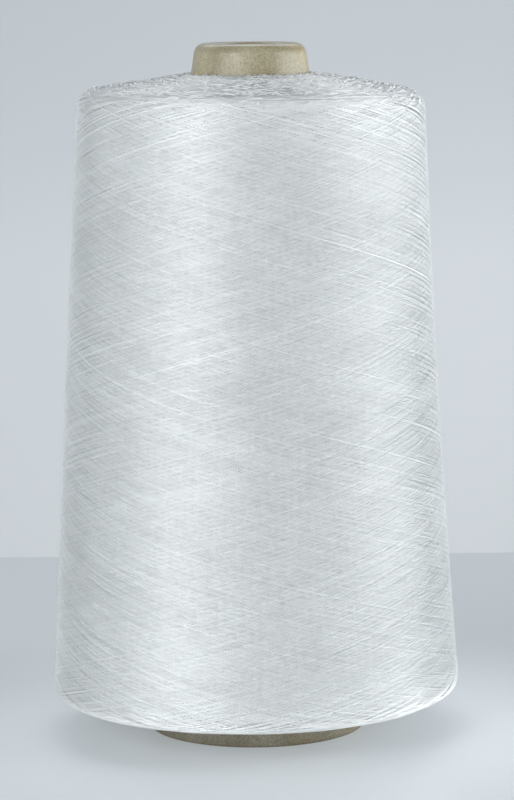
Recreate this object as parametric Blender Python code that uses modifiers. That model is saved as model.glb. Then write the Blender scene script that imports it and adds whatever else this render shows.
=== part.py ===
# Cone of thread: a tapered paper tube with a tall package of thread wound round it.
# It stands on the tube's base. Metres, +Z up; the origin is the centre of that base.
import math

import bpy

# Paper tube, a cone of 4 degrees 20 minutes
TUBE_LENGTH = 0.230
TUBE_BASE_RADIUS = 0.0364
TUBE_TAPER = math.tan(math.radians(4 + 20 / 60))
TUBE_WALL = 0.0024
NOSE_START = 0.2195  # above this the tube draws in to its nose
NOSE_DRAW = 0.0006
NOSE_ROUND = 0.0036  # outer radius of the rolled-in nose
LIP_REACH = 0.0070  # how far the turned-in lip runs on past the middle of that roll
LIP_ROUND = 0.0009
BASE_ROUND = 0.0004

# Wound thread, measured at its rims
BOTTOM_RIM_HEIGHT = 0.0110
BOTTOM_RIM_RADIUS = 0.0685
TOP_RIM_RADIUS = 0.0579
TOP_HEIGHT = 0.2202  # where the top end meets the tube
TOP_END_SLOPE = 0.128  # fall of the top end for each metre outwards
BOTTOM_END_SLOPE = 0.065  # rise of the bottom end for each metre outwards
BOTTOM_SHOULDER = 0.0046
TOP_SHOULDER = 0.0062
SIDE_HOLLOW = 0.0005  # the side is this much slimmer at half height than a straight cone
SIDE_BOW = 0.0006  # and leans this much towards -X there
BORE_GAP = 0.0003  # clearance between the thread and the tube

SEGMENTS = 72
SIDE_ROWS = 9
SHOULDER_ROWS = 6
NOSE_ROWS = 6
LIP_ROWS = 3


def tube_radius(height):
    """Outer radius of the paper tube at a height."""
    return TUBE_BASE_RADIUS - TUBE_TAPER * height


def arc(centre, radius, start_degrees, end_degrees, rows):
    """Points of an arc in the (radius, height) plane, both ends included."""
    turn = (end_degrees - start_degrees) / (rows - 1)
    angles = [math.radians(start_degrees + turn * row) for row in range(rows)]
    return [
        (centre[0] + radius * math.cos(angle), centre[1] + radius * math.sin(angle))
        for angle in angles
    ]


def material(name, colour, roughness):
    made = bpy.data.materials.new(name)
    made.use_nodes = True
    shader = made.node_tree.nodes["Principled BSDF"]
    shader.inputs["Base Color"].default_value = (*colour, 1)
    shader.inputs["Roughness"].default_value = roughness
    shader.inputs["Metallic"].default_value = 0
    return made


def turned(name, profile, finish, collection):
    """A closed (radius, height) outline turned about Z. It runs down the outer side first."""
    mesh = bpy.data.meshes.new(name)
    count = len(profile)
    corners = [(radius, 0, height) for radius, height in profile]
    mesh.from_pydata(corners, [(i, (i + 1) % count) for i in range(count)], [])
    mesh.materials.append(finish)
    made = bpy.data.objects.new(name, mesh)
    collection.objects.link(made)
    screw = made.modifiers.new("Turn", "SCREW")
    screw.axis = "Z"
    screw.steps = SEGMENTS
    screw.render_steps = SEGMENTS
    screw.use_smooth_shade = True
    screw.use_merge_vertices = False
    return made


def tube_profile():
    """The tube wall in section: outer side, flat base, bore, and the nose turned in at the top."""
    nose_height = TUBE_LENGTH - NOSE_ROUND
    nose_radius = tube_radius(nose_height) - NOSE_DRAW
    roll_centre = (nose_radius - NOSE_ROUND, nose_height)
    nose_slope = (tube_radius(NOSE_START) - nose_radius) / (nose_height - NOSE_START)
    nose_degrees = math.degrees(math.atan(nose_slope))
    lip_top = (roll_centre[0] - LIP_REACH + LIP_ROUND, TUBE_LENGTH - LIP_ROUND)
    lip_end = (lip_top[0], TUBE_LENGTH - TUBE_WALL + LIP_ROUND)
    inner_base = TUBE_BASE_RADIUS - TUBE_WALL
    base_corner = (TUBE_BASE_RADIUS - BASE_ROUND, BASE_ROUND)
    return (
        arc(roll_centre, NOSE_ROUND, 90, nose_degrees, NOSE_ROWS)
        + [(tube_radius(NOSE_START), NOSE_START)]
        + arc(base_corner, BASE_ROUND, 0, -90, LIP_ROWS)
        + [(inner_base, 0), (tube_radius(NOSE_START) - TUBE_WALL, NOSE_START)]
        + arc(roll_centre, NOSE_ROUND - TUBE_WALL, nose_degrees, 90, NOSE_ROWS)
        + arc(lip_end, LIP_ROUND, 270, 180, LIP_ROWS)
        + arc(lip_top, LIP_ROUND, 180, 90, LIP_ROWS)
    )


def side_rows():
    """Rows of the wound side from the top shoulder to the bottom one: (radius, height, bow share)."""
    rim_drop = TOP_END_SLOPE * (TOP_RIM_RADIUS - tube_radius(TOP_HEIGHT))
    top = TOP_HEIGHT - rim_drop - TOP_SHOULDER
    bottom = BOTTOM_RIM_HEIGHT + BOTTOM_SHOULDER
    rows = []
    for row in range(SIDE_ROWS):
        share = row / (SIDE_ROWS - 1)
        belly = math.sin(math.pi * share)
        radius = TOP_RIM_RADIUS + (BOTTOM_RIM_RADIUS - TOP_RIM_RADIUS) * share
        rows.append((radius - SIDE_HOLLOW * belly, top + (bottom - top) * share, belly))
    return rows


def package_profile():
    """The wound thread in section, with the bow share of each point."""
    side = side_rows()
    top_centre = (side[0][0] - TOP_SHOULDER, side[0][1])
    bottom_centre = (side[-1][0] - BOTTOM_SHOULDER, side[-1][1])
    top_end_degrees = 90 - math.degrees(math.atan(TOP_END_SLOPE))
    bottom_end_degrees = math.degrees(math.atan(BOTTOM_END_SLOPE)) - 90
    top_shoulder = arc(top_centre, TOP_SHOULDER, top_end_degrees, 0, SHOULDER_ROWS)
    bottom_shoulder = arc(bottom_centre, BOTTOM_SHOULDER, 0, bottom_end_degrees, SHOULDER_ROWS)

    bottom_radius, bottom_height = bottom_shoulder[-1]
    bottom_fall = BOTTOM_END_SLOPE * (bottom_radius - tube_radius(bottom_height))
    bottom_bore_height = bottom_height - bottom_fall
    bore = [
        (tube_radius(bottom_bore_height) + BORE_GAP, bottom_bore_height),
        (tube_radius(TOP_HEIGHT) + BORE_GAP, TOP_HEIGHT),
    ]
    outline = top_shoulder[:-1] + [row[:2] for row in side] + bottom_shoulder[1:] + bore
    bows = [0] * (len(top_shoulder) - 1) + [row[2] for row in side]
    return outline, bows + [0] * (len(outline) - len(bows))


def build_tube(collection):
    board = material("kraft board", (0.44, 0.36, 0.23), 0.7)
    return turned("paper_tube", tube_profile(), board, collection)


def build_package(collection):
    thread = material("white thread", (0.86, 0.88, 0.88), 0.4)
    outline, bows = package_profile()
    package = turned("wound_thread", outline, thread, collection)
    group = package.vertex_groups.new(name="bowed side")
    for index, share in enumerate(bows):
        group.add([index], share, "REPLACE")
    bow = package.modifiers.new("Bow", "DISPLACE")
    bow.direction = "X"
    bow.mid_level = 0
    bow.strength = -SIDE_BOW
    bow.vertex_group = group.name
    return package


for old in list(bpy.data.objects):
    bpy.data.objects.remove(old)
cone = bpy.data.collections.new("cone of thread")
bpy.context.scene.collection.children.link(cone)
build_tube(cone)
build_package(cone)
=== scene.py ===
import math

import bpy
from mathutils import Matrix, Vector


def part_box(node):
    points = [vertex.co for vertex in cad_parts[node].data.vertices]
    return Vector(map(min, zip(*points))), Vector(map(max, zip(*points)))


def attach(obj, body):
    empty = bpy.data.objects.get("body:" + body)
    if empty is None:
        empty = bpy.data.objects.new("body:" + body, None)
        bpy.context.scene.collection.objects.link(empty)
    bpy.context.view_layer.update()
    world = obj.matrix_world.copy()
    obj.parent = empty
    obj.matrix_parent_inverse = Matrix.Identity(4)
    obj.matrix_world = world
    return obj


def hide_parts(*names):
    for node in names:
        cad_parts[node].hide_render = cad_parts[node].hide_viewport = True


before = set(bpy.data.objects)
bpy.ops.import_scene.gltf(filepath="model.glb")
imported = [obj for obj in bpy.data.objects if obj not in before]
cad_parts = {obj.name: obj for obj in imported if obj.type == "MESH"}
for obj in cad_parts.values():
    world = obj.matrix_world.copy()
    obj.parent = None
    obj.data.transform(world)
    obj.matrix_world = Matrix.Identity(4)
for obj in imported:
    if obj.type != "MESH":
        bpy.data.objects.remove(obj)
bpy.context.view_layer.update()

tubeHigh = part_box("paper_tube")[1]
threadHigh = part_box("wound_thread")[1]


# Node and mesh helpers

def newMaterial(name):
    made = bpy.data.materials.new(name)
    made.use_nodes = True
    return made, made.node_tree, made.node_tree.nodes["Principled BSDF"]


def addNode(tree, kind, settings=None, values=None, links=None):
    # settings are the node's own, values and links go to its sockets by name or number
    node = tree.nodes.new(kind)
    for key, value in (settings or {}).items():
        setattr(node, key, value)
    for key, value in (values or {}).items():
        node.inputs[key].default_value = value
    for key, source in (links or {}).items():
        tree.links.new(source, node.inputs[key])
    return node


def maths(tree, operation, *values):
    # one Math node, in shader and geometry trees alike
    node = tree.nodes.new("ShaderNodeMath")
    node.operation = operation
    for socket, value in zip(node.inputs, values):
        if isinstance(value, (int, float)):
            socket.default_value = value
        else:
            tree.links.new(value, socket)
    return node.outputs[0]


def mixed(tree, share, low, high):
    # low and high in proportion, as one number
    node = tree.nodes.new("ShaderNodeMapRange")
    node.clamp = False
    for name, value in (("Value", share), ("To Min", low), ("To Max", high)):
        if isinstance(value, (int, float)):
            node.inputs[name].default_value = value
        else:
            tree.links.new(value, node.inputs[name])
    return node.outputs[0]


def eased(tree, value, start, end):
    # 0 before start, 1 after end, smooth between
    return addNode(
        tree, "ShaderNodeMapRange", {"interpolation_type": "SMOOTHSTEP"},
        {"From Min": start, "From Max": end}, {"Value": value}
    ).outputs[0]


def blended(tree, share, low, high):
    # two colours in proportion, each a colour or a socket
    node = addNode(tree, "ShaderNodeMix", {"data_type": "RGBA"}, links={0: share})
    for socket, colour in ((6, low), (7, high)):
        if isinstance(colour, tuple):
            node.inputs[socket].default_value = (*colour, 1)
        else:
            tree.links.new(colour, node.inputs[socket])
    return node.outputs[2]


def noise(tree, place, scale, detail=3, stretch=(1, 1, 1)):
    spread = addNode(
        tree, "ShaderNodeMapping", {"vector_type": "POINT"}, {"Scale": stretch}, {"Vector": place}
    )
    return addNode(
        tree, "ShaderNodeTexNoise", values={"Scale": scale, "Detail": detail},
        links={"Vector": spread.outputs[0]}
    ).outputs[0]


def newTree(name, sizes):
    # an empty Geometry Nodes tree with named inputs: {name: (socket kind, default)}
    tree = bpy.data.node_groups.new(name, "GeometryNodeTree")
    tree.interface.new_socket("Geometry", in_out="INPUT", socket_type="NodeSocketGeometry")
    for label, (kind, value) in sizes.items():
        socket = tree.interface.new_socket(label, in_out="INPUT", socket_type="NodeSocket" + kind)
        if value is not None:
            socket.default_value = value
    tree.interface.new_socket("Geometry", in_out="OUTPUT", socket_type="NodeSocketGeometry")
    return tree, tree.nodes.new("NodeGroupInput").outputs


def closeTree(tree, geometry, finish):
    # every tree ends in Realize Instances and Set Material
    real = addNode(tree, "GeometryNodeRealizeInstances", links={"Geometry": geometry})
    painted = addNode(
        tree, "GeometryNodeSetMaterial", links={"Geometry": real.outputs[0], "Material": finish}
    )
    addNode(tree, "NodeGroupOutput", links={0: painted.outputs[0]})


def growNodes(tree, name, values):
    # runs a tree with these inputs and returns its result as a plain mesh object
    holder = bpy.data.objects.new(name + ".holder", bpy.data.meshes.new(name + ".holder"))
    bpy.context.scene.collection.objects.link(holder)
    modifier = holder.modifiers.new("Grow", "NODES")
    modifier.node_group = tree
    for item in tree.interface.items_tree:
        if item.in_out == "INPUT" and item.name in values:
            modifier[item.identifier] = values[item.name]
    seen = holder.evaluated_get(bpy.context.evaluated_depsgraph_get())
    mesh = bpy.data.meshes.new_from_object(seen)
    mesh.name = name
    bpy.data.objects.remove(holder)
    made = bpy.data.objects.new(name, mesh)
    bpy.context.scene.collection.objects.link(made)
    print(f"{name}: {sum(len(f.vertices) - 2 for f in mesh.polygons)} triangles")
    return made


def finishPiece(piece, slot, *nodes):
    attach(piece, "root")
    if nodes:
        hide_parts(*nodes)


# The wound form in section, as (radius, height) points

form = {
    "bottomRimHeight": 0.0110,
    "bottomRimRadius": threadHigh.x,
    "topRimRadius": 0.0579,
    "topHeight": threadHigh.z,  # where the top end meets the tube
    "topSlope": 0.128,
    "bottomSlope": 0.065,
    "topShoulder": 0.0062,
    "bottomShoulder": 0.0046,
    "hollow": 0.0005,
    "lean": 0.0006,  # towards -X at half height
    "tubeFootRadius": tubeHigh.x,
    "tubeTaper": math.tan(math.radians(4 + 20 / 60)),
    "boreGap": 0.0003,
}


def tubeRadius(height):
    return form["tubeFootRadius"] - form["tubeTaper"] * height


def arcPoints(centre, radius, startDegrees, endDegrees, count):
    turn = (endDegrees - startDegrees) / (count - 1)
    angles = [math.radians(startDegrees + turn * i) for i in range(count)]
    return [(centre[0] + radius * math.cos(a), centre[1] + radius * math.sin(a)) for a in angles]


def straight(start, end, count):
    # points between two ends, the ends left out
    shares = [(i + 1) / (count + 1) for i in range(count)]
    return [tuple(a + (b - a) * share for a, b in zip(start, end)) for share in shares]


def woundOutline(sideRows, shoulderRows, endRows):
    # from the tube at the foot, out along the bottom end, up the side, in along the top end
    rimDrop = form["topSlope"] * (form["topRimRadius"] - tubeRadius(form["topHeight"]))
    sideTop = form["topHeight"] - rimDrop - form["topShoulder"]
    sideFoot = form["bottomRimHeight"] + form["bottomShoulder"]
    side = []
    for row in range(sideRows + 1):
        share = row / sideRows
        radius = form["bottomRimRadius"] + (form["topRimRadius"] - form["bottomRimRadius"]) * share
        radius -= form["hollow"] * math.sin(math.pi * share)
        side.append((radius, sideFoot + (sideTop - sideFoot) * share))
    bottomCentre = (side[0][0] - form["bottomShoulder"], sideFoot)
    topCentre = (side[-1][0] - form["topShoulder"], sideTop)
    bottomTilt = math.degrees(math.atan(form["bottomSlope"]))
    topTilt = math.degrees(math.atan(form["topSlope"]))
    bottomArc = arcPoints(bottomCentre, form["bottomShoulder"], bottomTilt - 90, 0, shoulderRows)
    topArc = arcPoints(topCentre, form["topShoulder"], 0, 90 - topTilt, shoulderRows)
    drop = form["bottomSlope"] * (bottomArc[0][0] - tubeRadius(bottomArc[0][1]))
    footHeight = bottomArc[0][1] - drop
    foot = (tubeRadius(footHeight) + form["boreGap"], footHeight)
    head = (tubeRadius(form["topHeight"]) + form["boreGap"], form["topHeight"])
    bottomEnd = [foot] + straight(foot, bottomArc[0], endRows)
    topEnd = straight(topArc[-1], head, endRows) + [head]
    return bottomEnd + bottomArc[:-1] + side + topArc[1:] + topEnd


def outlineCurve(name, points):
    # the section as a curve in the XZ plane, for the winding trees to sample
    curve = bpy.data.curves.new(name, "CURVE")
    curve.dimensions = "3D"
    spline = curve.splines.new("POLY")
    spline.points.add(len(points) - 1)
    spline.use_cyclic_u = True  # the closing run is the bore
    for point, (radius, height) in zip(spline.points, points):
        point.co = (radius, 0, height, 1)
    made = bpy.data.objects.new(name, curve)
    bpy.context.scene.collection.objects.link(made)
    return made


def lengthAlong(points, upTo):
    return sum(math.dist(points[i], points[i + 1]) for i in range(upTo))


def turned(name, points, segments):
    # a closed (radius, height) outline turned about Z
    mesh = bpy.data.meshes.new(name)
    rows = len(points)
    corners = []
    for radius, height in points:
        for step in range(segments):
            angle = 2 * math.pi * step / segments
            corners.append((radius * math.cos(angle), radius * math.sin(angle), height))
    faces = []
    for row in range(rows):
        below, above = row * segments, (row + 1) % rows * segments
        for step in range(segments):
            after = (step + 1) % segments
            faces.append((below + step, below + after, above + after, above + step))
    mesh.from_pydata(corners, [], faces)
    mesh.shade_smooth()
    made = bpy.data.objects.new(name, mesh)
    bpy.context.scene.collection.objects.link(made)
    return made


rows = {"side": 48, "shoulder": 12, "end": 24}
outline = woundOutline(rows["side"], rows["shoulder"], rows["end"])
bottomArcRow = rows["end"] + 1
sideStartRow = bottomArcRow + rows["shoulder"] - 1
sideEndRow = sideStartRow + rows["side"]
bottomArcStart = lengthAlong(outline, bottomArcRow)
sideStart = lengthAlong(outline, sideStartRow)
sideEnd = lengthAlong(outline, sideEndRow)
topArcEnd = lengthAlong(outline, sideEndRow + rows["shoulder"] - 1)
headLength = lengthAlong(outline, len(outline) - 1)
outlineLength = headLength + math.dist(outline[0], outline[-1])
outlineObject = outlineCurve("wound outline", outline)

unevenness = {
    "side": 0.00022,
    "sideScale": 30,
    "ends": 0.0007,
    "endsScale": 95,
    "bore": 0.0009,  # ragged rise of the ends where they meet the tube
    "boreScale": 240,
    "boreReach": 0.003,
    "slumpTop": 0.0010,  # how far the rims have slumped on the +X side
    "slumpBottom": 0.0011,
    "proudTop": 0.0005,  # and how far they stand out on the -X side
    "proudBottom": 0.0006,
    "slumpReach": 0.019,
}


# Materials

lattice = {
    "pitch": 0.0014,  # between crossing threads, up the cone
    "strands": 75,  # crossing threads in one turn at a height
    "jitter": 3.0,  # how far the threads stray from an even pitch
    "jitterScale": 70,
    "drawnScale": 420,
    "drawn": (0.30, 0.62),  # where a thread fades and where it is whole
    "drawnStretch": 0.3,
    "bump": 0.00012,
    "paintedShadeShare": 0.75,  # painted shade: the tone between the threads and of the packed thread below them, as a share of the strands' darker tone
    "roughness": 0.5,
}


def crossedThreads(tree, place):
    # fine threads crossing at a slant, as a height from 0 to 1
    at = addNode(tree, "ShaderNodeSeparateXYZ", links={0: place})
    around = maths(tree, "DIVIDE", maths(tree, "ARCTAN2", at.outputs["Y"], at.outputs["X"]), 2 * math.pi)
    up = maths(tree, "DIVIDE", at.outputs["Z"], lattice["pitch"])
    jitter = maths(tree, "MULTIPLY", noise(tree, place, lattice["jitterScale"], 3), lattice["jitter"])
    families = []
    for way in (1, -1):
        phase = maths(tree, "MULTIPLY_ADD", around, way * lattice["strands"], maths(tree, "ADD", up, jitter))
        crest = maths(tree, "PINGPONG", phase, 0.5)
        drawn = noise(tree, place, lattice["drawnScale"], 2, (1, 1, 1 + lattice["drawnStretch"] * way))
        families.append(maths(tree, "MULTIPLY", crest, eased(tree, drawn, *lattice["drawn"])))
    return maths(tree, "MULTIPLY", maths(tree, "MAXIMUM", *families), 2)


threadLook = {
    "colour": (0.89, 0.915, 0.93),
    "shade": (0.60, 0.63, 0.63),
    "mottleScale": 45,
    "mottleShare": 0.4,  # the rest of the tone is each strand's own
    "metallic": 0.45,
    "roughness": 0.42,
    "anisotropy": 0.8,
    "anisotropyTurn": 0.25,  # the highlight runs across the thread
    "fibreBump": 0.00003,
}


def threadMaterial():
    made, tree, shader = newMaterial("white silky thread")
    place = addNode(tree, "ShaderNodeTexCoord").outputs["Object"]
    mottle = noise(tree, place, threadLook["mottleScale"], 4)
    strand = addNode(tree, "ShaderNodeAttribute", {"attribute_name": "strand"}).outputs["Fac"]
    mottle = maths(tree, "MULTIPLY", mottle, threadLook["mottleShare"])
    pick = maths(tree, "MULTIPLY_ADD", strand, 1 - threadLook["mottleShare"], mottle)
    tone = blended(tree, pick, threadLook["shade"], threadLook["colour"])
    tree.links.new(tone, shader.inputs["Base Color"])
    bump = addNode(
        tree, "ShaderNodeBump", values={"Distance": threadLook["fibreBump"], "Strength": 1},
        links={"Height": crossedThreads(tree, place)}
    )
    tree.links.new(bump.outputs[0], shader.inputs["Normal"])
    run = addNode(tree, "ShaderNodeAttribute", {"attribute_name": "run"}).outputs["Vector"]
    tree.links.new(run, shader.inputs["Tangent"])
    shader.inputs["Anisotropic"].default_value = threadLook["anisotropy"]
    shader.inputs["Anisotropic Rotation"].default_value = threadLook["anisotropyTurn"]
    shader.inputs["Roughness"].default_value = threadLook["roughness"]
    shader.inputs["Metallic"].default_value = threadLook["metallic"]
    return made


def bodyMaterial():
    made, tree, shader = newMaterial("packed thread below")
    place = addNode(tree, "ShaderNodeTexCoord").outputs["Object"]
    threads = crossedThreads(tree, place)
    # painted shade: the packed thread is darker between the crossing threads, where shade falls under the
    # outer turns
    paintedGapShade = tuple(lattice["paintedShadeShare"] * part for part in threadLook["shade"])
    colour = blended(tree, threads, paintedGapShade, threadLook["colour"])
    tree.links.new(colour, shader.inputs["Base Color"])
    bump = addNode(
        tree, "ShaderNodeBump", values={"Distance": lattice["bump"], "Strength": 1}, links={"Height": threads}
    )
    tree.links.new(bump.outputs[0], shader.inputs["Normal"])
    shader.inputs["Roughness"].default_value = lattice["roughness"]
    return made


kraftLook = {
    "light": (0.31, 0.292, 0.203),
    "dark": (0.212, 0.188, 0.114),
    "yellow": (0.330, 0.270, 0.140),
    # the dark of flecks, cut plies and seam, also used for the painted contact shadow
    "darkMarksAndShade": (0.085, 0.062, 0.035),
    "pale": (0.52, 0.50, 0.40),
    "cloudScale": 55,
    "warmScale": 38,
    "warmShare": 0.7,
    "grainScale": 1500,
    "fleckShare": 0.55,
    "fibreScale": 1100,
    "fibreShare": 0.28,
    "roughness": (0.26, 0.46),
    "roughScale": 130,
    "bump": 0.00006,
    "plies": 0.00045,  # thickness of one layer of paper
    "seamTurn": 2.3,  # where the outer layer ends, in radians round the tube
    "seamLean": 1.5,  # radians it turns in each metre up
    "seamWidth": 0.0005,
    "seamShare": 0.5,
    "grainDark": 0.72,  # tones of the fine grain, and the same darker at the foot as painted shade under the wound package
    "grainPale": 1.22,
    "footShadeDark": 0.28,
    "footShadePale": 0.70,
    "footShadeReach": (0.014, 0.003),
    # painted contact shadow at the foot: its height and strength
    "contactShadeHeight": 0.0009,
    "contactShadeShare": 0.8,
}


def kraftMaterial():
    made, tree, shader = newMaterial("speckled kraft board")
    place = addNode(tree, "ShaderNodeTexCoord").outputs["Object"]
    at = addNode(tree, "ShaderNodeSeparateXYZ", links={0: place})
    radius = maths(tree, "SQRT", maths(tree, "ADD", maths(tree, "POWER", at.outputs["X"], 2),
                                       maths(tree, "POWER", at.outputs["Y"], 2)))
    around = maths(tree, "ARCTAN2", at.outputs["Y"], at.outputs["X"])

    # pulp: cloudy ground, fine grain, dark flecks and pale fibres
    cloud = eased(tree, noise(tree, place, kraftLook["cloudScale"], 5, (1, 1, 0.5)), 0.35, 0.65)
    warm = eased(tree, noise(tree, place, kraftLook["warmScale"], 2), 0.45, 0.70)
    fine = noise(tree, place, kraftLook["grainScale"], 3)
    grain = eased(tree, fine, 0.25, 0.75)
    ground = blended(tree, cloud, kraftLook["dark"], kraftLook["light"])
    ground = blended(tree, maths(tree, "MULTIPLY", warm, kraftLook["warmShare"]), ground, kraftLook["yellow"])
    flecks = maths(tree, "MULTIPLY", eased(tree, fine, 0.60, 0.72), kraftLook["fleckShare"])
    pulp = eased(tree, noise(tree, place, kraftLook["fibreScale"], 2, (1, 1, 0.3)), 0.60, 0.75)
    colour = blended(tree, flecks, ground, kraftLook["darkMarksAndShade"])
    colour = blended(tree, maths(tree, "MULTIPLY", pulp, kraftLook["fibreShare"]), colour, kraftLook["pale"])
    # painted shade: the board is darker towards its foot, under the wound package
    foot = eased(tree, at.outputs["Z"], *kraftLook["footShadeReach"])
    tone = mixed(tree, grain, mixed(tree, foot, kraftLook["grainDark"], kraftLook["footShadeDark"]),
                 mixed(tree, foot, kraftLook["grainPale"], kraftLook["footShadePale"]))
    colour = addNode(
        tree, "ShaderNodeMix", {"data_type": "RGBA", "blend_type": "MULTIPLY"}, {0: 1.0}, {6: colour, 7: tone}
    ).outputs[2]

    # cut plies at the base, the end of the outer ply, and a painted contact shadow at the foot
    inFoot = maths(tree, "LESS_THAN", at.outputs["Z"], 0.0003)
    ply = maths(tree, "PINGPONG", maths(tree, "DIVIDE", radius, kraftLook["plies"]), 0.5)
    cut = maths(tree, "MULTIPLY", inFoot, eased(tree, ply, 0.12, 0))
    lean = maths(tree, "MULTIPLY_ADD", at.outputs["Z"], kraftLook["seamLean"], kraftLook["seamTurn"])
    fromSeam = maths(tree, "ABSOLUTE", maths(tree, "SUBTRACT", around, lean))
    seam = eased(tree, maths(tree, "MULTIPLY", fromSeam, radius), kraftLook["seamWidth"], 0.0001)
    seam = maths(tree, "MULTIPLY", seam, kraftLook["seamShare"])
    # painted shade: a thin dark band at the very foot of the tube, a contact shadow
    contactShade = eased(tree, at.outputs["Z"], kraftLook["contactShadeHeight"], 0)
    contactShade = maths(tree, "MULTIPLY", contactShade, kraftLook["contactShadeShare"])
    # the cut plies and the seam are the board's own marks, the band at the foot is painted shade
    dark = maths(tree, "MAXIMUM", maths(tree, "MAXIMUM", cut, seam), contactShade)
    colour = blended(tree, dark, colour, kraftLook["darkMarksAndShade"])
    tree.links.new(colour, shader.inputs["Base Color"])

    rough = mixed(tree, noise(tree, place, kraftLook["roughScale"], 4), *kraftLook["roughness"])
    tree.links.new(rough, shader.inputs["Roughness"])
    relief = maths(tree, "SUBTRACT", maths(tree, "MULTIPLY_ADD", grain, 0.35, cloud), dark)
    bump = addNode(
        tree, "ShaderNodeBump", values={"Distance": kraftLook["bump"], "Strength": 0.6},
        links={"Height": relief}
    )
    tree.links.new(bump.outputs[0], shader.inputs["Normal"])
    return made


threadFinish = threadMaterial()
bodyFinish = bodyMaterial()
kraftFinish = kraftMaterial()
print("materials made")


# Outer turns: one long thread, wound up and down at a slant and turned back at both rims

winding = {
    "layers": (-0.00055, -0.00044, -0.00033, -0.00022),  # one piece each, the last turns uppermost
    "layerRise": 0.00003,  # from the first to the last turn of a layer
    "doubleStrokes": 96,  # in each layer
    "pointsPerStroke": 290,
    "turns": 3.884,  # round the cone in one double stroke
    "threadWidth": 0.00038,
    "threadHeight": 0.00016,
    "overrun": 0.0085,  # how far past the side the thread runs on to a shoulder
    "overrunSpread": 0.0100,
    "sharpness": 0.990,  # of the turn at each rim
    "rimSink": 0.0009,  # the turns dive into the package as they go round
    "wander": 0.035,  # angle it strays by
    "wanderScale": 1.3,
    "ripple": 0.00016,
    "rippleScale": 150.0,  # waves of the ripple in one double stroke
    "patches": 1.6,  # changes of tone along a strand
    "patchScale": 110.0,
    "strandTone": 0.6,  # and from one strand to the next
    "sinkFrom": 0.93,  # share of a stroke
    "reachScale": 1.9,
    "reachPower": 15,  # how close to a rim the uneven overrun begins
    "seed": 7,
}


outlineSockets = {
    "Outline": ("Object", None),
    "Side Start": ("Float", 0.0),
    "Side End": ("Float", 0.2),
    "Lean": ("Float", 0.0),
    "Finish": ("Material", None),
}
threadSockets = {
    **outlineSockets,
    "Thread Width": ("Float", 0.0003),
    "Thread Height": ("Float", 0.0001),
    "Seed": ("Int", 0),
}


def wave1d(tree, position, scale, seed, size):
    # smooth wander about zero along one thread
    node = addNode(
        tree, "ShaderNodeTexNoise", {"noise_dimensions": "1D"}, {"Scale": 1, "Detail": 2},
        {"W": maths(tree, "MULTIPLY_ADD", position, scale, seed)}
    )
    return maths(tree, "MULTIPLY", maths(tree, "SUBTRACT", node.outputs[0], 0.5), size)


def wave3d(tree, place, scale, size):
    # smooth unevenness about zero of the whole package
    node = addNode(
        tree, "ShaderNodeTexNoise", {"noise_dimensions": "3D"}, {"Scale": scale, "Detail": 2},
        {"Vector": place}
    )
    return maths(tree, "MULTIPLY", maths(tree, "SUBTRACT", node.outputs[0], 0.5), size)


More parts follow.
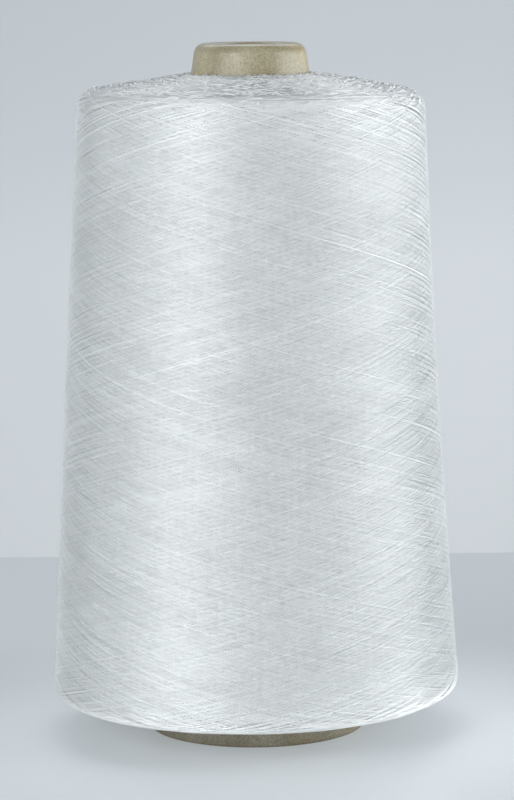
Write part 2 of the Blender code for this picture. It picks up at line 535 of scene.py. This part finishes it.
def layOnOutline(tree, distance, angle, lift, sizes):
    # place and outward normal at a distance along the outline and an angle round it
    source = addNode(tree, "GeometryNodeObjectInfo", links={"Object": sizes["Outline"]})
    sample = addNode(
        tree, "GeometryNodeSampleCurve", {"mode": "LENGTH", "use_all_curves": True},
        links={"Curves": source.outputs["Geometry"], "Length": distance}
    )
    at = addNode(tree, "ShaderNodeSeparateXYZ", links={0: sample.outputs["Position"]})
    along = addNode(tree, "ShaderNodeSeparateXYZ", links={0: sample.outputs["Tangent"]})
    outX, outZ = along.outputs["Z"], maths(tree, "MULTIPLY", along.outputs["X"], -1)
    cosine, sine = maths(tree, "COSINE", angle), maths(tree, "SINE", angle)

    # the ends are less even than the side
    level = addNode(
        tree, "ShaderNodeCombineXYZ",
        links={0: maths(tree, "MULTIPLY", at.outputs["X"], cosine),
               1: maths(tree, "MULTIPLY", at.outputs["X"], sine), 2: at.outputs["Z"]}
    ).outputs[0]
    flat = maths(tree, "ABSOLUTE", outZ)
    endsWave = wave3d(tree, level, unevenness["endsScale"], unevenness["ends"])
    sideWave = wave3d(tree, level, unevenness["sideScale"], unevenness["side"])
    uneven = maths(tree, "ADD", sideWave, maths(tree, "MULTIPLY", flat, endsWave))
    reach = unevenness["boreReach"]
    nearBore = maths(tree, "ADD", eased(tree, distance, headLength - reach, headLength),
                     eased(tree, distance, reach, 0))
    boreWave = wave3d(tree, level, unevenness["boreScale"], unevenness["bore"])
    ragged = maths(tree, "MULTIPLY", nearBore, boreWave)
    raised = maths(tree, "ADD", maths(tree, "ADD", lift, uneven), ragged)
    radius = maths(tree, "MULTIPLY_ADD", outX, raised, at.outputs["X"])
    height = maths(tree, "MULTIPLY_ADD", outZ, raised, at.outputs["Z"])

    # both rims have slumped a little towards the middle on the +X side
    right = maths(tree, "POWER", maths(tree, "MAXIMUM", cosine, 0), 2)
    left = maths(tree, "MAXIMUM", maths(tree, "MULTIPLY", cosine, -1), 0)
    reach = unevenness["slumpReach"]
    nearTop = maths(tree, "MULTIPLY", eased(tree, distance, topArcEnd + reach, sideEnd),
                    eased(tree, distance, sideEnd - reach, sideEnd))
    nearFoot = maths(tree, "MULTIPLY", eased(tree, distance, bottomArcStart - reach, sideStart),
                     eased(tree, distance, sideStart + reach, sideStart))
    shifts = []
    for near, slump, proud in (
        (nearTop, -unevenness["slumpTop"], unevenness["proudTop"]),
        (nearFoot, unevenness["slumpBottom"], -unevenness["proudBottom"]),
    ):
        both = maths(tree, "MULTIPLY_ADD", right, slump, maths(tree, "MULTIPLY", left, proud))
        shifts.append(maths(tree, "MULTIPLY", near, both))
    height = maths(tree, "ADD", height, maths(tree, "ADD", *shifts))

    side = maths(tree, "SUBTRACT", sizes["Side End"], sizes["Side Start"])
    share = maths(tree, "DIVIDE", maths(tree, "SUBTRACT", distance, sizes["Side Start"]), side)
    share = maths(tree, "MINIMUM", maths(tree, "MAXIMUM", share, 0), 1)
    bow = maths(tree, "MULTIPLY", maths(tree, "SINE", maths(tree, "MULTIPLY", share, math.pi)), sizes["Lean"])
    x = maths(tree, "SUBTRACT", maths(tree, "MULTIPLY", radius, cosine), bow)
    place = addNode(
        tree, "ShaderNodeCombineXYZ", links={0: x, 1: maths(tree, "MULTIPLY", radius, sine), 2: height}
    )
    normal = addNode(
        tree, "ShaderNodeCombineXYZ",
        links={0: maths(tree, "MULTIPLY", outX, cosine), 1: maths(tree, "MULTIPLY", outX, sine), 2: outZ}
    )
    return place.outputs[0], normal.outputs[0]


# Packed thread: the wound form, just below the outer turns

package = {"segments": 160, "rows": 120, "inset": -0.0007, "boreInset": -0.0001, "boreReach": 0.004}


def packageTree():
    tree, sizes = newTree("wound form", {
        **outlineSockets,
        "Outline Length": ("Float", 0.5),
        "Segments": ("Int", 160),
        "Rows": ("Int", 120),
        "Inset": ("Float", -0.0005),
        "Bore Inset": ("Float", -0.0001),
    })
    grid = addNode(
        tree, "GeometryNodeMeshGrid", values={"Size X": 1, "Size Y": 1},
        links={"Vertices X": sizes["Segments"], "Vertices Y": sizes["Rows"]}
    )
    position = addNode(tree, "GeometryNodeInputPosition").outputs[0]
    flat = addNode(tree, "ShaderNodeSeparateXYZ", links={0: position})
    angle = maths(tree, "MULTIPLY", maths(tree, "ADD", flat.outputs["X"], 0.5), 2 * math.pi)
    distance = maths(tree, "MULTIPLY", maths(tree, "ADD", flat.outputs["Y"], 0.5), sizes["Outline Length"])
    nearBore = maths(tree, "ADD", eased(tree, distance, headLength - package["boreReach"], headLength),
                     eased(tree, distance, package["boreReach"], 0))
    inset = mixed(tree, nearBore, sizes["Inset"], sizes["Bore Inset"])
    place, normal = layOnOutline(tree, distance, angle, inset, sizes)
    moved = addNode(tree, "GeometryNodeSetPosition", links={"Geometry": grid.outputs[0], "Position": place})
    joined = addNode(
        tree, "GeometryNodeMergeByDistance", values={"Distance": 0.00001},
        links={"Geometry": moved.outputs[0]}
    )
    smooth = addNode(tree, "GeometryNodeSetShadeSmooth", links={"Geometry": joined.outputs[0]})
    closeTree(tree, smooth.outputs[0], sizes["Finish"])
    return tree


def buildPackage():
    return growNodes(packageTree(), "wound_body", {
        **outlineInputs(),
        "Outline Length": outlineLength,
        "Segments": package["segments"],
        "Rows": package["rows"],
        "Inset": package["inset"],
        "Bore Inset": package["boreInset"],
        "Finish": bodyFinish,
    })


def line(tree, count):
    # a curve of so many points
    start = addNode(tree, "GeometryNodeCurvePrimitiveLine")
    resampled = addNode(tree, "GeometryNodeResampleCurve", links={"Curve": start.outputs[0], "Count": count})
    return resampled.outputs[0]


def sweepThread(tree, sizes, path, place, normal, strand, finish):
    # a flat-based thread through the places of a curve's points, closed at its ends
    moved = addNode(tree, "GeometryNodeSetPosition", links={"Geometry": path, "Position": place})
    marked = moved.outputs[0]
    run = addNode(tree, "GeometryNodeInputTangent").outputs[0]
    for name, kind, value in (("strand", "FLOAT", strand), ("run", "FLOAT_VECTOR", run)):
        marked = addNode(
            tree, "GeometryNodeStoreNamedAttribute", {"data_type": kind, "domain": "POINT"},
            {"Name": name}, {"Geometry": marked, "Value": value}
        ).outputs[0]
    stood = addNode(
        tree, "GeometryNodeSetCurveNormal", {"mode": "FREE"}, links={"Curve": marked, "Normal": normal}
    )
    section = addNode(tree, "GeometryNodeCurvePrimitiveCircle", values={"Resolution": 3, "Radius": 1})
    scale = addNode(
        tree, "ShaderNodeCombineXYZ",
        links={0: maths(tree, "DIVIDE", sizes["Thread Width"], math.sqrt(3)),
               1: maths(tree, "DIVIDE", sizes["Thread Height"], 1.5)}
    )
    scale.inputs[2].default_value = 1
    shaped = addNode(
        tree, "GeometryNodeTransform", {"mode": "COMPONENTS"},
        {"Rotation": (0, 0, math.radians(90))}, {"Geometry": section.outputs[0]}
    )
    squeezed = addNode(
        tree, "GeometryNodeTransform", {"mode": "COMPONENTS"},
        links={"Geometry": shaped.outputs[0], "Scale": scale.outputs[0]}
    )
    swept = addNode(
        tree, "GeometryNodeCurveToMesh", values={"Fill Caps": True},
        links={"Curve": stood.outputs[0], "Profile Curve": squeezed.outputs[0]}
    )
    smooth = addNode(tree, "GeometryNodeSetShadeSmooth", links={"Geometry": swept.outputs[0]})
    closeTree(tree, smooth.outputs[0], finish)


def windingTree():
    tree, sizes = newTree("cross winding", {
        **threadSockets,
        "First Stroke": ("Int", 0),
        "Double Strokes": ("Int", 100),
        "Points Per Stroke": ("Int", 200),
        "Turns": ("Float", 3.94),
        "Low Layer": ("Float", -0.0004),
        "High Layer": ("Float", 0.0),
        "Overrun": ("Float", 0.003),
        "Overrun Spread": ("Float", 0.002),
        "Sharpness": ("Float", 0.98),
        "Wander": ("Float", 0.03),
        "Ripple": ("Float", 0.0),
    })
    index = addNode(tree, "GeometryNodeInputIndex").outputs[0]
    count = maths(tree, "MULTIPLY", sizes["Double Strokes"], sizes["Points Per Stroke"])
    stroke = maths(tree, "FLOOR", maths(tree, "DIVIDE", index, sizes["Points Per Stroke"]))
    within = maths(tree, "DIVIDE", maths(tree, "MODULO", index, sizes["Points Per Stroke"]),
                   sizes["Points Per Stroke"])
    number = maths(tree, "ADD", stroke, sizes["First Stroke"])
    along = maths(tree, "ADD", number, within)

    # angle round the cone
    part = maths(tree, "FRACT", sizes["Turns"])
    turnsDone = maths(tree, "ADD", maths(tree, "FRACT", maths(tree, "MULTIPLY", part, number)),
                    maths(tree, "MULTIPLY", sizes["Turns"], within))
    wander = wave1d(tree, along, winding["wanderScale"], sizes["Seed"], sizes["Wander"])
    angle = maths(tree, "MULTIPLY_ADD", turnsDone, 2 * math.pi, wander)

    # rounded wave up and down the outline
    peak = maths(tree, "ARCSINE", sizes["Sharpness"])
    sway = maths(tree, "MULTIPLY", maths(tree, "SINE", maths(tree, "MULTIPLY", within, 2 * math.pi)),
                 sizes["Sharpness"])
    wave = maths(tree, "DIVIDE", maths(tree, "ARCSINE", sway), peak)
    middle = maths(tree, "MULTIPLY", maths(tree, "ADD", sizes["Side Start"], sizes["Side End"]), 0.5)
    half = maths(tree, "MULTIPLY", maths(tree, "SUBTRACT", sizes["Side End"], sizes["Side Start"]), 0.5)
    spreadSeed = maths(tree, "ADD", sizes["Seed"], 50.5)
    spread = wave1d(tree, along, winding["reachScale"], spreadSeed, sizes["Overrun Spread"])
    reach = maths(tree, "ADD", half, sizes["Overrun"])
    atRim = maths(tree, "MULTIPLY", maths(tree, "POWER", wave, winding["reachPower"]), spread)
    distance = maths(tree, "ADD", maths(tree, "MULTIPLY_ADD", wave, reach, middle), atRim)

    # later strokes lie over earlier ones
    done = maths(tree, "DIVIDE", maths(tree, "ADD", stroke, within), sizes["Double Strokes"])
    layer = mixed(tree, done, sizes["Low Layer"], sizes["High Layer"])
    rippleSeed = maths(tree, "ADD", sizes["Seed"], 90.5)
    ripple = wave1d(tree, along, winding["rippleScale"], rippleSeed, sizes["Ripple"])
    steep = eased(tree, maths(tree, "ABSOLUTE", wave), winding["sinkFrom"], 1)
    lift = maths(tree, "ADD", layer, maths(tree, "MULTIPLY_ADD", steep, -winding["rimSink"], ripple))
    place, normal = layOnOutline(tree, distance, angle, lift, sizes)
    chance = addNode(
        tree, "FunctionNodeRandomValue", {"data_type": "FLOAT"}, links={"ID": number, "Seed": sizes["Seed"]}
    ).outputs[1]
    patchSeed = maths(tree, "ADD", sizes["Seed"], 130.5)
    patches = wave1d(tree, along, winding["patchScale"], patchSeed, winding["patches"])
    tone = maths(tree, "MULTIPLY", chance, winding["strandTone"])
    strand = maths(tree, "ADD", tone, maths(tree, "ADD", patches, 0.2))
    sweepThread(tree, sizes, line(tree, count), place, normal, strand, sizes["Finish"])
    return tree


def outlineInputs():
    return {"Outline": outlineObject, "Side Start": sideStart, "Side End": sideEnd, "Lean": form["lean"]}


def buildWinding():
    tree = windingTree()
    pieces = []
    for piece, level in enumerate(winding["layers"]):
        pieces.append(growNodes(tree, f"outer_turns_{piece + 1}", {
            **outlineInputs(),
            "First Stroke": piece * winding["doubleStrokes"],
            "Double Strokes": winding["doubleStrokes"],
            "Points Per Stroke": winding["pointsPerStroke"],
            "Turns": winding["turns"],
            "Thread Width": winding["threadWidth"],
            "Thread Height": winding["threadHeight"],
            "Low Layer": level,
            "High Layer": level + winding["layerRise"],
            "Overrun": winding["overrun"],
            "Overrun Spread": winding["overrunSpread"],
            "Sharpness": winding["sharpness"],
            "Wander": winding["wander"],
            "Ripple": winding["ripple"],
            "Seed": winding["seed"],
            "Finish": threadFinish,
        }))
    return pieces


# End turns: where the thread turns back at a rim it shows on the end as broken rings

endTurns = {
    "pointsPerTurn": 56,
    "passes": 2,
    "spacing": 0.00036,
    "shoulderReach": 0.6,  # share of a shoulder that the rings climb over
    "drift": 0.0012,
    "driftScale": 2.3,
    "dive": 0.0006,
    "diveScale": 4.1,
    "rimFrom": 0.72,  # share of a pass where the rings start to sink at the rim
    "rimSink": 0.0004,
    "toneChanges": 2.7,  # in one turn
    "margin": 0.0002,  # kept clear of the bore
    "lowLayer": -0.00055,
    "highLayer": -0.00030,
    "seed": 21,
}


def endTree():
    tree, sizes = newTree("end turns", {
        **threadSockets,
        "Inner": ("Float", 0.0),
        "Outer": ("Float", 0.03),
        "Turns": ("Int", 100),
        "Points Per Turn": ("Int", 50),
        "Passes": ("Int", 2),
        "Drift": ("Float", 0.001),
        "Dive": ("Float", 0.0005),
        "Low Layer": ("Float", -0.0004),
        "High Layer": ("Float", 0.0),
    })
    index = addNode(tree, "GeometryNodeInputIndex").outputs[0]
    count = maths(tree, "MULTIPLY", sizes["Turns"], sizes["Points Per Turn"])
    around = maths(tree, "DIVIDE", index, sizes["Points Per Turn"])
    angle = maths(tree, "MULTIPLY", maths(tree, "FRACT", around), 2 * math.pi)
    done = maths(tree, "DIVIDE", around, sizes["Turns"])
    sweep = maths(tree, "PINGPONG", maths(tree, "MULTIPLY", done, sizes["Passes"]), 1)
    drift = wave1d(tree, around, endTurns["driftScale"], sizes["Seed"], sizes["Drift"])
    margin = maths(tree, "MULTIPLY", sizes["Drift"], 0.5)
    low, high = maths(tree, "ADD", sizes["Inner"], margin), sizes["Outer"]
    distance = maths(tree, "ADD", mixed(tree, sweep, low, high), drift)
    diveSeed = maths(tree, "ADD", sizes["Seed"], 40.5)
    dive = wave1d(tree, around, endTurns["diveScale"], diveSeed, sizes["Dive"])
    rim = eased(tree, sweep, endTurns["rimFrom"], 1)
    sunk = maths(tree, "MULTIPLY_ADD", rim, -endTurns["rimSink"], dive)
    lift = maths(tree, "ADD", mixed(tree, done, sizes["Low Layer"], sizes["High Layer"]), sunk)
    place, normal = layOnOutline(tree, distance, angle, lift, sizes)
    patch = maths(tree, "FLOOR", maths(tree, "MULTIPLY", around, endTurns["toneChanges"]))
    strand = addNode(
        tree, "FunctionNodeRandomValue", {"data_type": "FLOAT"}, links={"ID": patch, "Seed": sizes["Seed"]}
    )
    sweepThread(tree, sizes, line(tree, count), place, normal, strand.outputs[1], sizes["Finish"])
    return tree


def buildEndTurns():
    tree = endTree()
    reach = endTurns["shoulderReach"]
    ends = {
        "top_end_turns": (headLength - endTurns["margin"], sideEnd + (1 - reach) * (topArcEnd - sideEnd)),
        "bottom_end_turns": (endTurns["margin"], sideStart - (1 - reach) * (sideStart - bottomArcStart)),
    }
    pieces = []
    for name, (inner, outer) in ends.items():
        turns = round(abs(outer - inner) / endTurns["spacing"]) * endTurns["passes"]
        pieces.append(growNodes(tree, name, {
            **outlineInputs(),
            "Inner": inner,
            "Outer": outer,
            "Turns": turns,
            "Points Per Turn": endTurns["pointsPerTurn"],
            "Passes": endTurns["passes"],
            "Drift": math.copysign(endTurns["drift"], outer - inner),
            "Dive": endTurns["dive"],
            "Low Layer": endTurns["lowLayer"],
            "High Layer": endTurns["highLayer"],
            "Thread Width": winding["threadWidth"],
            "Thread Height": winding["threadHeight"],
            "Seed": endTurns["seed"],
            "Finish": threadFinish,
        }))
    return pieces


# Loose fibres: short ends and loops that stand a little proud

fibres = {
    "top_fibres": {
        "from": 0.005, "to": 0.0002, "bias": 0.8, "count": 2600, "length": 0.0028, "heading": 1.1,
        "rise": 0.0004, "base": -0.0003, "width": 0.00022, "height": 0.00018, "radius": 0.033, "seed": 31,
    },
    "side_fibres": {
        "from": 0.002, "to": 0.001, "bias": 1.0, "count": 700, "length": 0.0050, "heading": 0.9,
        "rise": 0.0006, "base": -0.0003, "width": 0.00014, "height": 0.00010, "radius": 0.063, "seed": 32,
    },
}
fibreShape = {
    "points": 6,
    "lengths": (0.4, 1.5),  # shortest and longest, as a share of the length above
    "curl": 0.3,
    "hump": 0.0003,
    "tones": (0.5, 1.1),
}


def fibreTree():
    tree, sizes = newTree("loose fibres", {
        **threadSockets,
        "From": ("Float", 0.2),
        "To": ("Float", 0.23),
        "Bias": ("Float", 1.0),
        "Count": ("Int", 1000),
        "Points": ("Int", 8),
        "Length": ("Float", 0.004),
        "Radius": ("Float", 0.03),
        "Heading": ("Float", 1.0),
        "Base": ("Float", -0.0003),
        "Rise": ("Float", 0.0005),
    })
    index = addNode(tree, "GeometryNodeInputIndex").outputs[0]
    number = maths(tree, "FLOOR", maths(tree, "DIVIDE", index, sizes["Points"]))
    last = maths(tree, "SUBTRACT", sizes["Points"], 1)
    along = maths(tree, "DIVIDE", maths(tree, "MODULO", index, sizes["Points"]), last)

    def chance(offset, low, high):
        # one random number for each fibre
        seed = maths(tree, "ADD", sizes["Seed"], offset)
        node = addNode(
            tree, "FunctionNodeRandomValue", {"data_type": "FLOAT"}, links={"ID": number, "Seed": seed}
        )
        return mixed(tree, node.outputs[1], low, high)

    hump = maths(tree, "SINE", maths(tree, "MULTIPLY", along, math.pi))
    middle = mixed(tree, maths(tree, "POWER", chance(1, 0, 1), sizes["Bias"]), sizes["From"], sizes["To"])
    length = maths(tree, "MULTIPLY", sizes["Length"], chance(2, *fibreShape["lengths"]))
    heading = maths(tree, "MULTIPLY", sizes["Heading"], chance(3, -0.5, 0.5))
    run = maths(tree, "MULTIPLY", length, maths(tree, "SUBTRACT", along, 0.5))
    bend = chance(4, -fibreShape["curl"], fibreShape["curl"])
    curl = maths(tree, "MULTIPLY", maths(tree, "MULTIPLY", length, bend), hump)
    across = maths(tree, "MULTIPLY_ADD", run, maths(tree, "SINE", heading), curl)
    distance = maths(tree, "MINIMUM", maths(tree, "ADD", middle, across), headLength)
    level = maths(tree, "MULTIPLY", run, maths(tree, "COSINE", heading))
    around = maths(tree, "DIVIDE", level, sizes["Radius"])
    angle = maths(tree, "ADD", chance(5, 0, 2 * math.pi), around)
    rise = maths(tree, "MULTIPLY", sizes["Rise"], maths(tree, "POWER", chance(6, 0, 1), 2))
    lift = maths(tree, "MULTIPLY_ADD", maths(tree, "ADD", rise, fibreShape["hump"]), hump, sizes["Base"])
    place, normal = layOnOutline(tree, distance, angle, lift, sizes)
    copies = addNode(
        tree, "GeometryNodeDuplicateElements", {"domain": "SPLINE"},
        links={"Geometry": line(tree, sizes["Points"]), "Amount": sizes["Count"]}
    ).outputs[0]
    sweepThread(tree, sizes, copies, place, normal, chance(7, *fibreShape["tones"]), sizes["Finish"])
    return tree


def buildFibres():
    tree = fibreTree()
    reaches = {"top_fibres": (topArcEnd, headLength), "side_fibres": (sideStart, sideEnd)}
    pieces = []
    for name, fibre in fibres.items():
        start, end = reaches[name]
        pieces.append(growNodes(tree, name, {
            **outlineInputs(),
            "From": start - fibre["from"],
            "To": end - fibre["to"],
            "Bias": fibre["bias"],
            "Count": fibre["count"],
            "Points": fibreShape["points"],
            "Length": fibre["length"],
            "Radius": fibre["radius"],
            "Heading": fibre["heading"],
            "Base": fibre["base"],
            "Rise": fibre["rise"],
            "Thread Width": fibre["width"],
            "Thread Height": fibre["height"],
            "Seed": fibre["seed"],
            "Finish": threadFinish,
        }))
    return pieces


# Paper tube with its nose rolled in

tube = {
    "length": tubeHigh.z,
    "wall": 0.0024,
    "noseStart": 0.2195,  # above this it draws in to its nose
    "noseDraw": 0.0006,
    "noseRound": 0.0036,
    "lipReach": 0.0070,
    "lipRound": 0.0009,
    "baseRound": 0.0004,
    "segments": 160,
}


def tubeOutline():
    start, roll = tube["noseStart"], tube["noseRound"]
    noseHeight = tube["length"] - roll
    noseRadius = tubeRadius(noseHeight) - tube["noseDraw"]
    slope = (tubeRadius(start) - noseRadius) / (noseHeight - start)
    tilt = math.degrees(math.atan(slope))
    centre = (noseRadius - roll, noseHeight)
    lipX = centre[0] - tube["lipReach"] + tube["lipRound"]
    lipTop = (lipX, tube["length"] - tube["lipRound"])
    lipEnd = (lipX, tube["length"] - tube["wall"] + tube["lipRound"])
    outerFoot = (form["tubeFootRadius"] - tube["baseRound"], tube["baseRound"])
    foot = arcPoints(outerFoot, tube["baseRound"], -90, 0, 5)
    outerBend = (tubeRadius(start), start)
    innerBend = (tubeRadius(start) - tube["wall"], start)
    nose = arcPoints(centre, roll, tilt, 90, 16)
    lip = arcPoints(lipTop, tube["lipRound"], 90, 180, 5) + arcPoints(lipEnd, tube["lipRound"], 180, 270, 5)
    inner = arcPoints(centre, roll - tube["wall"], 90, tilt, 12)
    bore = (form["tubeFootRadius"] - tube["wall"], 0)
    outside = foot + straight(foot[-1], outerBend, 60) + [outerBend] + straight(outerBend, nose[0], 8)
    inside = inner + [innerBend] + straight(innerBend, bore, 40) + [bore]
    return outside + nose + lip + inside


def buildTube():
    made = turned("paper_cone", tubeOutline(), tube["segments"])
    made.data.materials.append(kraftFinish)
    return made


tubePiece = buildTube()
bodyPiece = buildPackage()
print("tube and packed thread made")
turnPieces = buildWinding() + buildEndTurns() + buildFibres()
finishPiece(tubePiece, "kraft_board", "paper_tube")
finishPiece(bodyPiece, "white_thread", "wound_thread")
for piece in turnPieces:
    finishPiece(piece, "white_thread", "wound_thread")
bpy.data.objects.remove(outlineObject)


# Table, backdrop and lights

studio = {
    "tableColour": (0.51, 0.54, 0.565),
    "tableRoughness": 0.35,
    "tableSpecular": 0.3,
    "paintedTableGlow": (0.205, 0.218, 0.225),  # painted light: the table top glows round the package, which keeps the shadows soft
    "glowCentre": (0.015, -0.03, 0),
    "glowReach": (0.04, 0.18),  # from its centre, where the table's glow starts to fade and where it ends
    "glowLeft": 0.15,  # share of it beyond
    "wallColour": (0.585, 0.60, 0.615),
    "paintedWallGlow": (0.20, 0.225, 0.24),  # painted light: the backdrop glows, as if lit from below
    "paintedWallGlowDim": (0.05, 0.075, 0.095),
    "glowMiddle": 0.50,  # share of the full glow at the table's height
    "glowFall": 1.6,  # share lost in each metre up
    "glowDrift": 0.5,  # share gained in each metre to the right
    "wallRoughness": 0.9,
    "tableDepth": 0.30,  # from the tube's axis to the far edge
    "tableReach": 3,  # to its other edges
    "wallDepth": 1.5,
    "wallReach": 4,  # to each side
    "wallHeights": (-1, 3),
}


def flatSheet(name, corners, finish):
    mesh = bpy.data.meshes.new(name)
    mesh.from_pydata(corners, [], [(0, 1, 2, 3)])
    mesh.materials.append(finish)
    made = bpy.data.objects.new(name, mesh)
    bpy.context.scene.collection.objects.link(made)
    return made


def buildStage():
    finish, tree, shader = newMaterial("pale table")
    shader.inputs["Base Color"].default_value = (*studio["tableColour"], 1)
    shader.inputs["Roughness"].default_value = studio["tableRoughness"]
    shader.inputs["Specular IOR Level"].default_value = studio["tableSpecular"]
    shader.inputs["Emission Color"].default_value = (*studio["paintedTableGlow"], 1)
    place = addNode(tree, "ShaderNodeTexCoord").outputs["Object"]
    # painted light: the glow is strongest near the package and fades away from it
    away = addNode(
        tree, "ShaderNodeVectorMath", {"operation": "DISTANCE"}, {1: studio["glowCentre"]}, {0: place}
    ).outputs["Value"]
    glow = mixed(tree, eased(tree, away, *studio["glowReach"]), 1, studio["glowLeft"])
    tree.links.new(glow, shader.inputs["Emission Strength"])
    far, wide = studio["tableDepth"], studio["tableReach"]
    table = flatSheet("table", [(-wide, -wide, 0), (wide, -wide, 0), (wide, far, 0), (-wide, far, 0)], finish)

    wallFinish, tree, shader = newMaterial("pale backdrop")
    shader.inputs["Base Color"].default_value = (*studio["wallColour"], 1)
    shader.inputs["Roughness"].default_value = studio["wallRoughness"]
    place = addNode(tree, "ShaderNodeTexCoord").outputs["Object"]
    at = addNode(tree, "ShaderNodeSeparateXYZ", links={0: place})
    # painted light: the backdrop glows brighter lower down and to the right
    lower = mixed(tree, at.outputs["Z"], studio["glowMiddle"], studio["glowMiddle"] - studio["glowFall"])
    sideways = maths(tree, "MULTIPLY_ADD", at.outputs["X"], studio["glowDrift"], lower)
    share = eased(tree, sideways, 0, 1)
    glow = blended(tree, share, studio["paintedWallGlowDim"], studio["paintedWallGlow"])
    tree.links.new(glow, shader.inputs["Emission Color"])
    shader.inputs["Emission Strength"].default_value = 1
    # the wall has one side only, so it hides nothing from behind
    behind = addNode(tree, "ShaderNodeNewGeometry").outputs["Backfacing"]
    clear = addNode(tree, "ShaderNodeBsdfTransparent").outputs[0]
    oneSided = addNode(tree, "ShaderNodeMixShader", links={0: behind, 1: shader.outputs[0], 2: clear})
    tree.links.new(oneSided.outputs[0], tree.nodes["Material Output"].inputs["Surface"])
    away, wide, (low, high) = studio["wallDepth"], studio["wallReach"], studio["wallHeights"]
    wall = flatSheet("backdrop", [(-wide, away, low), (wide, away, low), (wide, away, high),
                                  (-wide, away, high)], wallFinish)


lamps = {
    "aimHeight": 0.12,
    "distance": 1.2,
    "width": 0.42,
    "tall": 0.5,
    # power of each soft panel by its angle from the camera, to the right, in two rows by height
    "rows": {
        0.10: {-110: 1.0, -90: 1.0, -70: 2.2, -50: 4.0, -30: 2.8, -10: 2.4, 10: 1.7, 30: 2.1,
               50: 3.2, 70: 3.3, 90: 4.5, 110: 3.9, 130: 2.2},
        0.60: {-50: 2.5, -30: 3.8, 70: 3.2, 90: 1.8},
    },
}
backLamp = {"distance": 0.9, "height": 1.1, "width": 1.2, "tall": 0.6, "power": 6.5}
air = {"colour": (0.90, 0.95, 1.0), "strength": 0.25}


def addPanel(name, angle, away, height, width, tall, power):
    data = bpy.data.lights.new(name, "AREA")
    data.shape = "RECTANGLE"
    data.size = width
    data.size_y = tall
    data.energy = power
    lamp = bpy.data.objects.new(name, data)
    turn = math.radians(angle)
    lamp.location = (away * math.sin(turn), -away * math.cos(turn), height)
    aim = Vector((0, 0, lamps["aimHeight"]))
    lamp.rotation_euler = (aim - lamp.location).to_track_quat("-Z", "Y").to_euler()
    bpy.context.scene.collection.objects.link(lamp)


def buildLamps():
    for height, panels in lamps["rows"].items():
        for angle, power in panels.items():
            name = f"panel {angle} at {height}"
            addPanel(name, angle, lamps["distance"], height, lamps["width"], lamps["tall"], power)
    addPanel("back panel", 180, backLamp["distance"], backLamp["height"], backLamp["width"], backLamp["tall"],
             backLamp["power"])
    world = bpy.data.worlds.new("studio air")
    world.use_nodes = True
    background = world.node_tree.nodes["Background"]
    background.inputs["Color"].default_value = (*air["colour"], 1)
    background.inputs["Strength"].default_value = air["strength"]
    bpy.context.scene.world = world


view = {
    "distance": 1.0934,
    "height": 0.2679,
    "pitch": 8.186,  # degrees down
    "turn": -0.060,
    "roll": -0.576,
    "lens": 147.96,
    "sensor": 36,
    "clipEnd": 20,
}


def buildCamera():
    data = bpy.data.cameras.new("camera")
    data.lens = view["lens"]
    data.sensor_width = view["sensor"]
    data.clip_end = view["clipEnd"]
    camera = bpy.data.objects.new("camera", data)
    camera.location = (0, -view["distance"], view["height"])
    aim = Matrix.Rotation(math.radians(view["turn"]), 4, "Z")
    aim = aim @ Matrix.Rotation(math.radians(90 - view["pitch"]), 4, "X")
    aim = aim @ Matrix.Rotation(math.radians(view["roll"]), 4, "Z")
    camera.rotation_euler = aim.to_euler()
    bpy.context.scene.collection.objects.link(camera)
    bpy.context.scene.camera = camera
    bpy.context.scene.view_settings.view_transform = "Standard"


buildStage()
buildLamps()
buildCamera()
print("stage, lights and camera made")
